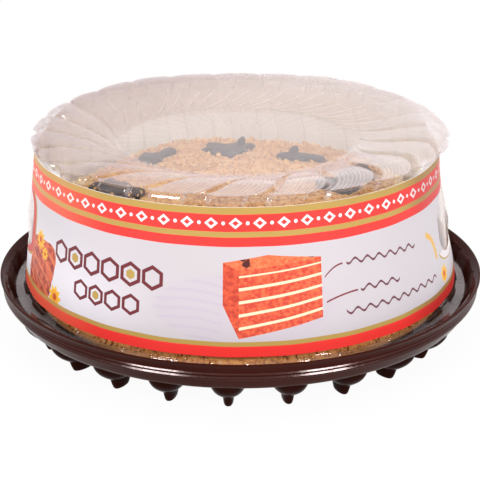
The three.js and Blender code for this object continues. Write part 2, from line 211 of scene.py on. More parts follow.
class Look:
    """A material with a Principled shader and its node tree."""

    def __init__(self, name, **values):
        self.material = bpy.data.materials.new(name)
        self.material.use_nodes = True
        self.tree = self.material.node_tree
        self.tree.nodes.clear()
        self.out = self.tree.nodes.new("ShaderNodeOutputMaterial")
        self.shader = self.tree.nodes.new("ShaderNodeBsdfPrincipled")
        self.tree.links.new(self.shader.outputs[0], self.out.inputs["Surface"])
        for key, v in values.items():
            self.shader.inputs[key.replace("_", " ")].default_value = v
        self.coordinate = self.tree.nodes.new("ShaderNodeTexCoord")
        scale = self.tree.nodes.new("ShaderNodeVectorMath")
        scale.operation = "SCALE"
        scale.inputs["Scale"].default_value = 1000.0
        self.tree.links.new(self.coordinate.outputs["Object"], scale.inputs[0])
        self.mm = scale.outputs[0]

    def xyz(self):
        node = self.tree.nodes.new("ShaderNodeSeparateXYZ")
        self.tree.links.new(self.mm, node.inputs[0])
        return [Val(self.tree, node.outputs[i]) for i in range(3)]

    def noise(self, scale, detail=3.0, roughness=0.55, vector=None, kind="FBM"):
        """Noise from 0 to 1 with features of about 1/scale millimetres."""
        node = self.tree.nodes.new("ShaderNodeTexNoise")
        node.noise_type = kind
        node.inputs["Scale"].default_value = scale
        node.inputs["Detail"].default_value = detail
        node.inputs["Roughness"].default_value = roughness
        self.tree.links.new(vector or self.mm, node.inputs["Vector"])
        return Val(self.tree, node.outputs[0])

    def cells(self, scale, feature="F1"):
        node = self.tree.nodes.new("ShaderNodeTexVoronoi")
        node.feature = feature
        node.inputs["Scale"].default_value = scale
        self.tree.links.new(self.mm, node.inputs["Vector"])
        return Val(self.tree, node.outputs["Distance"]), node.outputs["Color"]

    def mix(self, factor, a, b):
        node = self.tree.nodes.new("ShaderNodeMix")
        node.data_type = "RGBA"
        for socket, v in ((node.inputs[0], factor), (node.inputs[6], a), (node.inputs[7], b)):
            if isinstance(v, Val):
                self.tree.links.new(v.socket, socket)
            elif isinstance(v, (tuple, list, float, int)):
                socket.default_value = v
            else:
                self.tree.links.new(v, socket)
        return node.outputs[2]

    def set(self, key, value):
        socket = self.shader.inputs[key]
        self.tree.links.new(value.socket if isinstance(value, Val) else value, socket)

    def bump(self, height, strength, distance_mm):
        node = self.tree.nodes.new("ShaderNodeBump")
        node.inputs["Strength"].default_value = strength
        node.inputs["Distance"].default_value = distance_mm * 0.001
        self.tree.links.new(height.socket, node.inputs["Height"])
        self.tree.links.new(node.outputs[0], self.shader.inputs["Normal"])
        return node


# ------------------------------------------------------------------ tray colour
def tray_look(name, gloss, painted_shade=1.0, rough=0.12):
    # painted shade: the base colours are scaled down by painted_shade
    dark, mid, light = ([c * painted_shade for c in colour] for colour in ((50, 18, 12), (57, 22, 16), (64, 28, 21)))
    look = Look(name, Roughness=0.16, IOR=1.5, Specular_IOR_Level=gloss, Specular_Tint=(1.0, 0.84, 0.84, 1.0))
    broad = look.noise(0.02, 2)
    fine = look.noise(0.5, 4)
    base = look.mix(broad.ramp(0.35, 0.65), srgb(*dark), srgb(*mid))
    base = look.mix(fine.ramp(0.6, 0.8) * 0.25, base, srgb(*light))
    look.set("Base Color", base)
    look.set("Roughness", fine.ramp(0.3, 0.8, rough, rough + 0.14))
    look.bump(look.noise(0.08, 2), 0.25, 0.4)
    return look.material


# ------------------------------------------------------------- clear dome plastic
def clear_look():
    look = Look("clear_plastic", Roughness=0.4)
    tree = look.tree
    tree.nodes.remove(look.shader)
    facing = tree.nodes.new("ShaderNodeLayerWeight")
    facing.inputs["Blend"].default_value = 0.5
    grazing = Val(tree, facing.outputs["Facing"])
    polish = tree.nodes.new("ShaderNodeAttribute")
    polish.attribute_name = "polish"
    reflect = ((grazing ** 5.0) * 0.975 + 0.025 + Val(tree, polish.outputs["Fac"]) * 0.055).low(1.0)
    clear = tree.nodes.new("ShaderNodeBsdfTransparent")
    tint = look.mix(look.noise(0.03, 2).ramp(0.3, 0.7), (0.99, 0.988, 0.988, 1), (0.996, 0.994, 0.994, 1))
    tree.links.new(tint, clear.inputs["Color"])
    gloss = tree.nodes.new("ShaderNodeBsdfGlossy")
    gloss.inputs["Color"].default_value = (1.0, 0.945, 0.95, 1)
    gloss.inputs["Roughness"].default_value = 0.04
    frost, glow, haze = (tree.nodes.new("ShaderNode" + kind) for kind in ("BsdfDiffuse", "BsdfTranslucent", "MixShader"))
    # painted shade: the haze colour is darker and greyer on the left of the lid, paler on the right
    haze_colour_shaded_left = look.mix(look.xyz()[0].ramp(-105.0, 70.0), (0.67, 0.57, 0.58, 1), (0.9, 0.835, 0.83, 1))
    tree.links.new(haze_colour_shaded_left, frost.inputs["Color"])
    tree.links.new(haze_colour_shaded_left, glow.inputs["Color"])
    haze.inputs[0].default_value = 0.35
    tree.links.new(frost.outputs[0], haze.inputs[1])
    tree.links.new(glow.outputs[0], haze.inputs[2])
    ribbed = tree.nodes.new("ShaderNodeAttribute")
    ribbed.attribute_name = "haze"
    place = tree.nodes.new("ShaderNodeAttribute")
    place.attribute_name = "across"
    # painted highlight: thin whitish lines along the ribs are added to the milky haze
    line = (Val(tree, place.outputs["Fac"]) * (2 * math.pi * 12.0)).cos() * 0.5 + 0.5
    fine = look.xyz()[1].ramp(-10.0, 60.0, 1.0, 0.15)      # the painted highlight lines along the ribs fade towards the back
    milky = Val(tree, ribbed.outputs["Fac"]) * (line ** 3.0 * 0.22 * fine + 0.93) * look.noise(0.12, 3).ramp(0.2, 0.8, 0.85, 1.1) + 0.004
    body = tree.nodes.new("ShaderNodeMixShader")
    tree.links.new(milky.socket, body.inputs[0])
    tree.links.new(clear.outputs[0], body.inputs[1])
    tree.links.new(haze.outputs[0], body.inputs[2])
    total = tree.nodes.new("ShaderNodeMixShader")
    tree.links.new(reflect.socket, total.inputs[0])
    tree.links.new(body.outputs[0], total.inputs[1])
    tree.links.new(gloss.outputs[0], total.inputs[2])
    tree.links.new(total.outputs[0], look.out.inputs["Surface"])
    return look.material


# ------------------------------------------------------------------- band's print
WHITE, GOLD, RED = srgb(200, 193, 196), srgb(186, 153, 80), srgb(248, 57, 52)
MAROON, ORANGE, CREAM = srgb(112, 38, 46), srgb(226, 88, 58), srgb(252, 226, 190)
YELLOW, LILAC = srgb(248, 196, 48), srgb(202, 191, 200)


def print_look():
    look = Look("band_print", Roughness=0.42, IOR=1.42)
    x, y, z = look.xyz()
    front = math.radians(268.0)
    along = x * math.cos(front) + y * math.sin(front)
    across = x * -math.sin(front) + y * math.cos(front)
    turn = across.atan2(along)          # 0 at the middle of the front, + to the right
    u, v = turn * 107.0, z              # millimetres round the band and over the ground
    azimuth = turn * (180 / math.pi) + 268.0
    colour = look.mix(look.noise(0.012, 2).ramp(0.3, 0.7), WHITE, srgb(203, 196, 201))
    colour = look.mix(u.ramp(-20.0, -90.0) * u.ramp(-175.0, -135.0) * v.ramp(74.0, 46.0, 0.3, 1.0) * 0.85, colour, srgb(236, 231, 238))

    # a pale oval behind the slice
    oval = (((u - 6.0) / 43.0) ** 2.0 + ((v - 49.0) / 17.0) ** 2.0)
    colour = look.mix(oval.ramp(1.05, 0.75) * (0.5 + 0.5 * look.noise(0.06, 3)), colour, LILAC)
    ripple = ((v + (u * 0.11).sin() * 1.6 + u * 0.1) / 4.2).wrap(1.0)
    colour = look.mix(oval.ramp(1.0, 0.8) * ripple.ramp(0.5, 0.95) * (u < -4.0) * 0.35, colour, srgb(184, 174, 194))

    # the slice: a crumbed left side, a layered cut side and a narrow top
    cut_top = (u - 3.0) * 0.105 + 66.6
    cut_low = (u - 3.0) * 0.195 + 35.8
    cut = u.between(3.0, 40.5) * (v < cut_top) * (v > cut_low)
    level = (v - cut_low) / (cut_top - cut_low)
    crumb = look.noise(0.55, 4)
    orange = look.mix(crumb.ramp(0.35, 0.7), srgb(206, 66, 50), srgb(238, 112, 72))
    stripe = (level * 5.2 + 0.12).wrap(1.0)
    face = look.mix((stripe.ramp(0.74, 0.8)) * (level < 0.92) * (level > 0.08), orange, CREAM)
    colour = look.mix(cut, colour, face)
    side_top = (u - 3.0) * -0.5 + 66.6
    side_low = (u - 3.0) * -2.2 + 35.8
    side = u.between(-4.0, 3.0) * (v < side_top) * (v > side_low)
    colour = look.mix(side, colour, look.mix(crumb.ramp(0.3, 0.7), srgb(186, 58, 44), srgb(226, 92, 60)))
    roof_low = u.ramp(-4.0, 3.0, 70.1, 66.6, smooth=False) * (u < 3.0) + cut_top * (u > 3.0)
    roof_top = u.ramp(-4.0, 16.0, 70.2, 73.4, smooth=False) * (u < 16.0) + (u.ramp(16.0, 40.5, 73.4, 70.6, smooth=False)) * (u > 15.999)
    roof = u.between(-4.0, 40.5) * (v > roof_low) * (v < roof_top)
    top_orange = look.mix(crumb.ramp(0.3, 0.7), srgb(220, 96, 60), srgb(244, 134, 86))
    bits = look.noise(0.16, 2).ramp(0.58, 0.64)
    colour = look.mix(roof, colour, look.mix(bits, top_orange, srgb(84, 34, 34)))

    # two rows of honeycomb outlines
    def comb(colour, left, count, middle, size, line):
        pitch = size * math.sqrt(3.0)
        cell = (u - left).wrap(pitch) - pitch / 2
        up = (v - middle).abs()
        side_x = cell.abs()
        hexagon = side_x.high(side_x * 0.5 + up * (math.sqrt(3.0) / 2))
        radius = size * math.sqrt(3.0) / 2
        ring = (hexagon < radius - 0.4) * (hexagon > radius - 0.4 - line)
        inside = u.between(left, left + count * pitch)
        return look.mix(ring * inside, colour, MAROON), hexagon, inside, cell

    colour, hexagon, inside, cell = comb(colour, -97.0, 6, 60.6, 6.4, 1.7)
    colour, hexagon2, inside2, cell2 = comb(colour, -80.4, 4, 46.6, 5.6, 1.5)
    colour = look.mix((hexagon < 2.1) * inside * (u.between(-85.9, -74.8) + u.between(-52.7, -41.6)), colour, GOLD)
    colour = look.mix((hexagon2 < 1.9) * inside2 * u.between(-70.7, -61.0), colour, GOLD)

    # fine wavy rules on the right
    for left, right, middle, slope in ((53.0, 98.0, 66.5, -0.06), (60.0, 84.0, 53.0, -0.05), (52.0, 116.0, 43.6, -0.02)):
        wave = (v - ((u * (2 * math.pi / 7.0)).sin() * 1.1 + (u - left) * slope + middle)).abs()
        colour = look.mix((wave < 0.55) * u.between(left, right), colour, srgb(112, 62, 74))
    for start, low, rise, reach in ((42.0, 61.0, 5.0, 9.0), (42.5, 49.5, 3.0, 16.0)):
        t = (u - start) / reach
        arc = (v - (t * t * rise * -1.0 + t * rise * 2.0 + low)).abs()
        colour = look.mix((arc < 0.4) * u.between(start, start + reach), colour, srgb(128, 52, 60))
    # a gold bow near the right-hand end
    bow = (((u - 104.0) ** 2.0 + (v - 49.5) ** 2.0).sqrt() - 16.0).abs()
    colour = look.mix((bow < 1.3) * (u > 109.0) * (v > 49.5), colour, srgb(226, 176, 84))

    # frames of the side windows
    for window in WINDOW_AZIMUTHS:
        gap = ((azimuth - window + 180.0).wrap(360.0) - 180.0)
        t = ((gap.abs() / WINDOW_HALF_DEG) ** 4.0 + ((v - sum(WINDOW_Z) / 2).abs() / ((WINDOW_Z[1] - WINDOW_Z[0]) / 2)) ** 4.0) ** 0.25
        shown = (gap > 0.0) if window < 200 else ((gap > -14.0) + (v < 50.0)).low(1.0)
        shown = (shown + (gap < -14.0) * (1.0 if window < 200 else 0.0)).low(1.0)
        colour = look.mix((t < 1.19) * shown, colour, GOLD)
        if window < 200:
            colour = look.mix((t < 1.14) * shown, colour, srgb(206, 52, 50))
        else:
            colour = look.mix((t < 1.155) * shown, colour, srgb(226, 218, 222))

    # a block of layered cake at the left-hand end
    block = (((u + 113.0 - (v - 46.0) * 0.22) / 15.5) ** 4.0 + ((v - 46.0) / 14.5) ** 4.0 + (look.noise(0.12, 3) - 0.5) * 0.9)
    tilt = ((v + u * 0.5 + look.noise(0.06, 2) * 6.0) / 6.4).wrap(1.0)
    slab = look.mix(look.noise(0.3, 4).ramp(0.35, 0.65), srgb(150, 44, 40), srgb(222, 104, 68))
    slab = look.mix(tilt.ramp(0.6, 0.95) * 0.6, slab, srgb(234, 140, 92))
    colour = look.mix(block < 1.0, colour, slab)

    # plain yellow daisies
    for cu, cv, size in ((-113.5, 59.5, 5.0), (-95.2, 36.8, 5.6), (-107.5, 54.0, 3.2), (127.2, 39.5, 4.6)):
        du, dv = u - cu, v - cv
        reach = (du * du + dv * dv).sqrt()
        petals = (dv.atan2(du) * 9.0).cos() * 0.16 + 0.84
        colour = look.mix(reach < petals * size, colour, look.mix((reach / size).ramp(0.35, 0.9), srgb(250, 170, 40), YELLOW))
        colour = look.mix(reach < size * 0.3, colour, srgb(206, 84, 34))

    # rules round the top and the foot of the band
    for low, high, paint in ((27.0, 32.3, RED), (32.3, 34.4, GOLD), (77.2, 81.35, RED), (81.35, 83.8, GOLD), (83.8, 91.4, RED), (91.4, 94.6, GOLD)):
        colour = look.mix(v.between(low, high), colour, paint)
    # white lozenges and dots on the wide red rule
    place = (u + 4.0).wrap(11.0) - 5.5
    up = (v - 87.6).abs()
    colour = look.mix((place.abs() / 3.1 + up / 2.5) < 1.0, colour, srgb(250, 240, 242))
    colour = look.mix((place.abs() / 1.5 + up / 1.2) < 1.0, colour, RED)
    dot = ((place.abs() - 5.5) ** 2.0 + up * up).sqrt()
    colour = look.mix(dot < 0.85, colour, srgb(250, 240, 242))
    # painted light and shade on the rules: paler at the left end, darker at the right end
    ruled = ((v < 34.4) + (v > 77.2)).low(1.0)
    colour = look.mix(u.ramp(-55.0, -95.0) * u.ramp(-175.0, -135.0) * ruled * 0.22, colour, srgb(255, 170, 120))
    colour = look.mix(u.ramp(82.0, 112.0) * u.ramp(175.0, 135.0) * ruled * 0.4, colour, srgb(110, 30, 32))
    # the cut edge of the paper
    colour = look.mix(v > 94.44, colour, srgb(246, 236, 226))
    look.set("Base Color", colour)
    look.set("Roughness", look.noise(0.8, 3).ramp(0.2, 0.8, 0.38, 0.48))
    look.bump(look.noise(0.03, 2), 0.3, 0.5)
    return look.material


def paper_back_look():
    look = Look("band_back", Roughness=0.7)
    fibre = look.noise(0.4, 5)
    look.set("Base Color", look.mix(fibre.ramp(0.3, 0.7), srgb(254, 252, 249), srgb(255, 254, 252)))
    look.shader.inputs["Emission Color"].default_value = (1.0, 0.98, 0.96, 1)      # light through the thin paper
    look.shader.inputs["Emission Strength"].default_value = 0.05
    look.bump(fibre, 0.2, 0.05)
    return look.material


# -------------------------------------------------------------------- crumb coat
def crumb_look(name, shift=0.0):
    look = Look(name, Roughness=0.9)
    broad = look.noise(0.035, 3)
    grain = look.noise(0.5, 4, 0.65)
    speck, cell_colour = look.cells(0.42)
    base = look.mix(grain.ramp(0.3, 0.72), srgb(198, 138, 76), srgb(238, 192, 130))
    base = look.mix(broad.ramp(0.4, 0.68) * 0.5, base, srgb(240, 198, 138))
    base = look.mix(look.xyz()[2].ramp(40.0, 26.0) * 0.6, base, srgb(226, 142, 62))      # browner and more orange towards the foot
    x, y, z = look.xyz()
    edge = (x * x + y * y).sqrt().ramp(72.0, 88.0) * z.ramp(45.0, 60.0)
    base = look.mix(edge * 0.92, base, srgb(255, 230, 172))      # painted light: paler round the edge of the top
    split = look.tree.nodes.new("ShaderNodeSeparateColor")
    look.tree.links.new(cell_colour, split.inputs[0])
    pick = Val(look.tree, split.outputs[0])
    base = look.mix((pick > 0.88 - shift) * speck.ramp(0.5, 0.2) * 0.6, base, srgb(150, 90, 50))
    base = look.mix((pick < 0.14) * speck.ramp(0.5, 0.2) * 0.6, base, srgb(242, 204, 156))
    look.set("Base Color", base)
    look.bump(look.noise(0.9, 5, 0.7), 0.7, 0.5)
    return look.material


def chocolate_look():
    look = Look("chocolate", Roughness=0.42, IOR=1.45, Specular_IOR_Level=0.3)
    broad = look.noise(0.1, 3)
    look.set("Base Color", look.mix(broad.ramp(0.3, 0.7), srgb(28, 16, 13), srgb(43, 27, 21)))
    look.set("Roughness", look.noise(0.4, 3).ramp(0.3, 0.7, 0.34, 0.55))
    look.bump(look.noise(0.3, 3), 0.4, 0.4)
    return look.material


# ------------------------------------------------------------------------- tray
def build_tray(material, bead_material, inner_material):
    """The moulding from rim to floor: a turned section whose gutter dips into each foot."""
    section = [  # radius, height, depth of the dip over a foot
        # underside, from the middle out
        (0.01, 15.9, 0), (60, 15.9, 0), (100, 15.9, 0), (114, 15.8, 0), (117.6, 15.6, 0), (118.9, 15.55, 0), (119.35, 15.9, 0),
        # skirt
        (120.2, 17.3, 0), (121.5, 19.6, 0), (122.4, 21.2, 0), (122.75, 21.8, 0),
        # two steps under the lip
        (123.35, 21.95, 0), (123.72, 22.15, 0), (123.84, 22.4, 0), (123.84, 22.62, 0), (123.72, 22.83, 0), (123.47, 23.28, 0), (123.35, 23.49, 0), (123.26, 23.64, 0),
        (123.5, 23.75, 0), (123.86, 23.92, 0), (123.98, 24.18, 0), (123.96, 24.4, 0), (123.84, 24.61, 0), (123.59, 25.06, 0), (123.47, 25.27, 0), (123.42, 25.42, 0),
        # lip
        (123.55, 26.2, 0), (123.95, 27.6, 0), (124.45, 28.7, 0), (124.85, 29.3, 0), (124.95, 29.6, 0), (124.75, 29.9, 0), (124.3, 30.0, 0), (123.7, 29.75, 0),
        (122.6, 28.7, 0), (121.2, 27.5, 0), (120.7, 26.9, 0),
        # gutter wall and ledge
        (120.1, 25.4, 0.0), (119.3, 23.0, 0.3), (118.8, 21.6, 1.4), (118.2, 21.05, 3.2), (117.2, 20.9, 5.6), (115.6, 20.9, 7.2),
        (113.8, 20.9, 7.4), (112.3, 20.8, 6.4), (111.3, 20.2, 4.4), (110.2, 19.0, 2.0), (109.2, 18.0, 0.5), (108.4, 17.65, 0),
        (107.2, 17.6, 0), (100, 17.6, 0), (60, 17.6, 0), (0.01, 17.6, 0),
    ]
    columns = 960
    theta = np.arange(columns) / columns * 360.0
    gap = np.abs((theta - FOOT_PHASE + 7.5) % 15.0 - 7.5)
    dip = 1 - ease(2.0, 4.2, gap)
    # the gutter wall bows out a little over each foot
    bow = 1 - ease(1.5, 5.2, gap)
    points = []
    for r, z, depth in section:
        radius = r + bow * (1.1 if 20.9 < z < 27.0 and 118.0 < r < 120.8 else 0.0)
        zz = z - depth * dip * 0.62
        a = np.radians(theta)
        points.append(np.stack([radius * np.cos(a), radius * np.sin(a), zz + 0 * a], -1))
    points = np.concatenate(points)
    quads = grid_quads(len(section), columns)
    # the two straight flanks under the lip are polished
    heights = np.array([row[1] for row in section[:-1]])
    outside = np.array([row[0] for row in section[:-1]]) > 123.4
    flank = outside & (((heights > 22.6) & (heights < 23.4)) | ((heights > 24.4) & (heights < 25.1)))
    inside = np.arange(len(section) - 1) >= [row[1] for row in section].index(27.5)
    # both faces of the floor are closed at the middle
    j = np.arange(columns)
    j2, last = (j + 1) % columns, (len(section) - 1) * columns
    middle = len(section) * columns
    points = np.concatenate([points, [(0, 0, section[0][1]), (0, 0, section[-1][1])]])
    tris = np.concatenate([np.stack([j2, j, np.full(columns, middle)], -1), np.stack([last + j, last + j2, np.full(columns, middle + 1)], -1)])
    index = np.concatenate([np.repeat(flank + 2 * inside, columns), np.repeat([0, 2], columns)])
    mesh = make_mesh("tray_body", points, quads=quads, tris=tris, sharp_deg=60, material_index=index)
    add_piece("tray_body", mesh, [material, bead_material, inner_material], ["tray_floor", "tray_rim"])


def build_feet(material):
    """Twenty-four pockets: a rounded bowl and a short stub each, long along the radius."""
    sections = [  # height, inner radius, outer radius, half width
        (15.7, 88.0, 118.85, 9.5), (14.6, 88.3, 118.7, 9.4), (13.3, 88.8, 118.3, 9.1), (11.9, 89.6, 117.5, 8.6), (10.5, 90.7, 116.4, 8.1),
        (9.2, 92.0, 115.1, 7.4), (8.1, 93.3, 113.7, 6.5), (7.2, 94.5, 112.4, 5.5), (6.5, 95.4, 111.4, 4.4), (6.05, 96.0, 110.7, 3.5),
        (5.75, 96.4, 110.2, 3.0), (5.2, 96.6, 109.9, 2.85), (3.8, 97.0, 109.4, 2.7), (2.2, 97.5, 108.8, 2.5), (0.9, 98.0, 108.2, 2.3),
        (0.25, 98.5, 107.7, 2.0), (0.05, 99.2, 107.0, 1.5),
    ]
    sides = 36
    t = (np.arange(sides) + 0.5) / sides * 2 * np.pi
    soft = lambda v, p: np.sign(v) * np.abs(v) ** p
    points, quads, tris = [], [], []
    for k in range(FOOT_COUNT):
        a = math.radians(FOOT_PHASE + k * 360 / FOOT_COUNT)
        start = sum(len(p) for p in points)
        for z, r0, r1, half in sections:
            p = 0.86
            x = (r0 + r1) / 2 + (r1 - r0) / 2 * soft(np.cos(t), p)
            y = half * soft(np.sin(t), p)
            points.append(np.stack([x * math.cos(a) - y * math.sin(a), x * math.sin(a) + y * math.cos(a), z + 0 * x], -1))
        n = len(sections)
        quads.append(grid_quads(n, sides, offset=start))
        for row, flip in ((0, False), (n - 1, True)):
            centre = start + n * sides + (0 if row == 0 else 1)
            j = np.arange(sides)
            j2 = (j + 1) % sides
            ring = start + row * sides
            tri = np.stack([ring + j, ring + j2, np.full(sides, centre)], -1)
            tris.append(tri[:, ::-1] if not flip else tri)
        mean = lambda row: points[-n + row].mean(0)
        points.append(np.stack([mean(0), points[-1].mean(0)]))
    mesh = make_mesh("tray_feet", np.concatenate(points), quads=np.concatenate(quads)[:, ::-1], tris=np.concatenate(tris)[:, ::-1], sharp_deg=50)
    add_piece("tray_feet", mesh, [material], [f"tray_foot_{k + 1:02d}" for k in range(FOOT_COUNT)])


# ------------------------------------------------------------------------- dome
def band_radius(z):
    return BAND_BOTTOM[0] + (z - BAND_BOTTOM[1]) * (BAND_TOP[0] - BAND_BOTTOM[0]) / (BAND_TOP[1] - BAND_BOTTOM[1])


def band_back(azimuth):
    """1 where the band stands up at the back, 0 at the front."""
    away = np.abs((azimuth - 90.0 + 180.0) % 360.0 - 180.0)
    return 1 - ease(52.0, 84.0, away)


def wall_radius(z):
    return band_radius(z) - BAND_PAPER - BAND_GAP


def lobe_shapes(theta):
    """How far each column lies in its groove: as a block edge, a rounded lobe and a petal; then its place across the pitch."""
    f = ((theta - LOBE_PHASE) / PITCH) % 1.0
    d = np.minimum(f, 1 - f)
    block = 1 - ease(0.155, 0.245, d)
    lobe = (1 - 2 * d) ** 3.0
    petal = 0.6 * (1 - ease(0.0, 0.12, d)) + 0.4 * (1 - 2 * d) ** 2
    return block, lobe, petal, d, f


def lean(x, z):
    """The lid's wall leans a little to one side of its shoulder."""
    lower = 1 - ease(94.8, 100.5, z)
    pressed = 1.8 * ease(32.0, 60.0, z) * (1 - 0.5 * ease(78.0, 94.0, z)) * np.clip(x / 105.0, 0, 1) ** 4      # the right side is pressed in
    return x - (1.5 * np.clip((z - BAND_BOTTOM[1]) / (BAND_TOP[1] - BAND_BOTTOM[1]), 0, 1) + pressed) * lower


def bulge(azimuth, z):
    """How far the wall stands out through the band's windows."""
    out = 0.0
    for window in WINDOW_AZIMUTHS:
        gap = (azimuth - window + 180.0) % 360.0 - 180.0
        out = out + np.exp(-(gap / 13.5) ** 4)
    return 2.4 * out * np.exp(-((z - sum(WINDOW_Z) / 2) / 10.5) ** 4)


def dome_surface(rows, theta, depth):
    """Points of the sheet; rows hold r, z, groove inset, groove drop, weights of block, lobe and petal, rib height, haze."""
    block, lobe, petal, d, f = lobe_shapes(theta)
    wave = np.cos((f - 0.5) / 0.78 * 9 * 2 * np.pi)
    on_petal = ease(0.085, 0.125, d)
    r, z = rows[:, 0], rows[:, 1]
    tr, tz = np.gradient(r), np.gradient(z)
    length = np.hypot(tr, tz)
    nr, nz = tz / length, -tr / length      # out of the dome
    turn = np.zeros(len(r))
    seen = r.argmax()
    turn[seen:] = np.interp(r[seen:], [row[0] for row in SWIRL], [row[1] for row in SWIRL])
    a = np.radians(theta[None, :] + turn[:, None])
    azimuth = np.degrees(a) % 360.0
    shallow = 1 - 0.94 * ease(0.05, 0.65, np.sin(a)) * (1 - ease(97.0, 102.0, r))[:, None]      # the petals at the back are flatter
    shallow = shallow * (1 - 0.5 * np.exp(-(((azimuth + 180.0) % 360.0 - 182.0) / 34.0) ** 2) * (1 - ease(97.0, 102.0, r))[:, None])
    g = rows[:, 4:5] * block + rows[:, 5:6] * lobe + rows[:, 6:7] * petal
    height = rows[:, 7:8] * wave * on_petal * shallow
    tilt = rows[:, 6:7] * 0.5 * ease(60.0, 75.0, r)[:, None] * (f - 0.5) * ease(0.0, 0.1, d) * shallow
    radius = r[:, None] - rows[:, 2:3] * g + nr[:, None] * (height - depth)
    level = z[:, None] - rows[:, 3:4] * g * shallow + nz[:, None] * (height - depth) - tilt
    radius = radius + bulge(azimuth, z[:, None])
    level = level + sum(np.exp(-((azimuth - c) / 15.0) ** 2) for c in (56.0, 126.0)) * ease(80.0, 97.0, radius) * ease(100.5, 103.5, level)
    sunk = np.interp(r, [row[0] for row in FRONT_DROP], [row[1] for row in FRONT_DROP]) * (np.arange(len(r)) > seen)
    level = level - sunk[:, None] * ease(-0.1, 0.85, -np.sin(a))
    right = np.exp(-(((azimuth + 180.0) % 360.0 - 182.0) / 38.0) ** 2)
    dull = np.minimum(0.1 + 0.82 * ease(-0.1, 0.6, np.sin(a)) + 0.6 * right, 0.92)      # haze left in the grooves: little at the front
    thin = (1 - 0.4 * np.exp(-((azimuth - 228.0) / 18.0) ** 2)) * (1 - 0.13 * np.exp(-((azimuth - 180.0) / 40.0) ** 2))
    haze = rows[:, 8:9] * (dull + (1 - dull) * on_petal) * (0.92 + 0.08 * wave * shallow) * thin
    neck = (ease(94.3, 95.6, z) * (1 - ease(100.2, 101.6, z)))[:, None]
    wall = (ease(28.0, 34.0, z) * (1 - ease(90.0, 94.0, z)))[:, None]
    edge = np.exp(-((d - 0.2) / 0.028) ** 2)
    # painted highlight: whitish haze along the lobe edges of the neck and extra haze at the front of the neck
    haze = (haze + neck * (0.24 * edge + 0.01 + 0.1 * np.exp(-((azimuth - 270.0) / 22.0) ** 2)) + wall * 0.1 * edge).ravel()
    polish = ((z > 97.3) & (z < 98.9) & (r > 103.2))[:, None] * np.ones_like(level)
    polish = np.maximum(polish, neck * edge * 0.8)
    polish = np.maximum(polish, ((z > 99.5) & (z < 102.4) & (r > 103.0))[:, None] * on_petal * 0.5)
    x = lean(radius * np.cos(a), level)
    return np.stack([x, radius * np.sin(a), level], -1).reshape(-1, 3), haze, (f + 0 * r[:, None]).ravel(), polish.ravel()


def closed_sheet(name, rows, columns, material, nodes, centre_z=None):
    """A sheet with thickness, outer and inner face; centre_z closes both at the axis."""
    theta = LOBE_PHASE + np.arange(columns) / columns * 360.0
    (outer, haze, across, polish), (inner, _, _, _) = dome_surface(rows, theta, 0.0), dome_surface(rows, theta, SHEET)
    rows = len(rows)
    points = [outer, inner]
    n = rows * columns
    quads = [grid_quads(rows, columns), grid_quads(rows, columns, offset=n)[:, ::-1]]
    j = np.arange(columns)
    j2 = (j + 1) % columns
    quads.append(np.stack([j2, j, n + j, n + j2], -1))                       # first row's edge
    tris = []
    if centre_z is None:
        e = (rows - 1) * columns
        quads.append(np.stack([e + j, e + j2, n + e + j2, n + e + j], -1))
    else:
        points.append(np.array([[0, 0, centre_z], [0, 0, centre_z - SHEET]]))
        e = (rows - 1) * columns
        tris.append(np.stack([e + j, e + j2, np.full(columns, 2 * n)], -1))
        tris.append(np.stack([n + e + j2, n + e + j, np.full(columns, 2 * n + 1)], -1))
    mesh = make_mesh(name, np.concatenate(points), quads=np.concatenate(quads), tris=np.concatenate(tris) if tris else None, sharp_deg=70)
    for label, of_one_face in (("haze", haze), ("across", across), ("polish", polish)):
        value = np.zeros(len(mesh.vertices), np.float32)
        value[:2 * n] = np.concatenate([of_one_face, of_one_face])
        mesh.attributes.new(label, "FLOAT", "POINT").data.foreach_set("value", value)
    return add_piece(name, mesh, [material], nodes)


